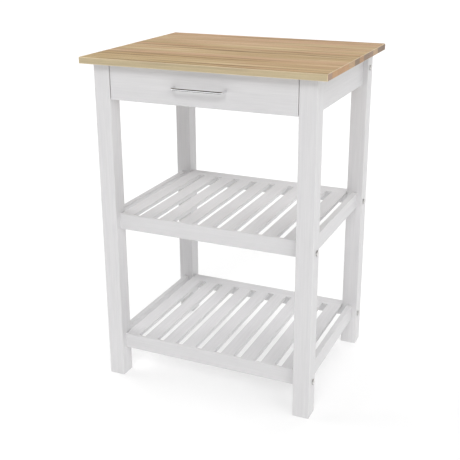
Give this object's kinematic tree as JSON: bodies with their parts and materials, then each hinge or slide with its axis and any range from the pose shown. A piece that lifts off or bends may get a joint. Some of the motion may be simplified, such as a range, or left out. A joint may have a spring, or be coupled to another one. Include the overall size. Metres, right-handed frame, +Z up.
{
  "type": "kitchen island table",
  "caption": "Small white kitchen island with a butcher-block hardwood worktop, an inset drawer with a wire pull, square legs and slatted shelves.",
  "frame": {"origin": "on the floor under the centre of the whole outline, pull included", "axes": "+Z up, +Y to the back, +X to the right as seen from the drawer side"},
  "size_m": [0.61, 0.493, 0.843],
  "materials": {
    "hardwood_top": "satin oiled",
    "white_paint": "satin white paint over wood",
    "bare_wood": "unfinished",
    "drawer_panel": "thin plywood",
    "polished_pull": "polished",
    "plated_steel": "nickel plated"
  },
  "bodies": {
    "frame": {"worktop": "hardwood_top", "leg_front_left": "white_paint", "leg_front_right": "white_paint", "leg_rear_left": "white_paint", "leg_rear_right": "white_paint", "apron_left": "white_paint", "apron_right": "white_paint", "apron_rear": "white_paint", "front_top_rail": "bare_wood", "top_cleat_left": "bare_wood", "top_cleat_right": "bare_wood", "drawer_runner_left": "bare_wood", "drawer_runner_right": "bare_wood", "middle_shelf_front_rail": "white_paint", "middle_shelf_rear_rail": "white_paint", "middle_shelf_left_rail": "white_paint", "middle_shelf_right_rail": "white_paint", "middle_shelf_slat_01": "white_paint", "middle_shelf_slat_02": "white_paint", "middle_shelf_slat_03": "white_paint", "middle_shelf_slat_04": "white_paint", "middle_shelf_slat_05": "white_paint", "middle_shelf_slat_06": "white_paint", "middle_shelf_slat_07": "white_paint", "middle_shelf_slat_08": "white_paint", "middle_shelf_slat_09": "white_paint", "middle_shelf_cross_slat": "white_paint", "lower_shelf_front_rail": "white_paint", "lower_shelf_rear_rail": "white_paint", "lower_shelf_left_rail": "white_paint", "lower_shelf_right_rail": "white_paint", "lower_shelf_slat_01": "white_paint", "lower_shelf_slat_02": "white_paint", "lower_shelf_slat_03": "white_paint", "lower_shelf_slat_04": "white_paint", "lower_shelf_slat_05": "white_paint", "lower_shelf_slat_06": "white_paint", "lower_shelf_slat_07": "white_paint", "lower_shelf_slat_08": "white_paint", "lower_shelf_slat_09": "white_paint", "lower_shelf_cross_slat": "white_paint", "frame_bolts": "plated_steel", "barrel_nuts": "plated_steel", "side_frame_dowels": "bare_wood", "cross_rail_dowels": "bare_wood", "worktop_screws": "plated_steel", "runner_screws": "plated_steel", "slat_brads": "plated_steel"},
    "drawer": {"drawer_front": "white_paint", "drawer_side_left": "bare_wood", "drawer_side_right": "bare_wood", "drawer_back": "bare_wood", "drawer_bottom": "drawer_panel", "drawer_pull": "polished_pull", "drawer_cam_locks": "plated_steel", "drawer_cam_bolts": "plated_steel", "drawer_dowels": "bare_wood", "drawer_back_screws": "plated_steel", "drawer_pull_screws": "plated_steel"}
  },
  "joints": [
    {"name": "drawer_slide", "type": "slide", "parent": "frame", "child": "drawer", "axis": [0, -1, 0], "range_m": [0, 0.28]}
  ]
}
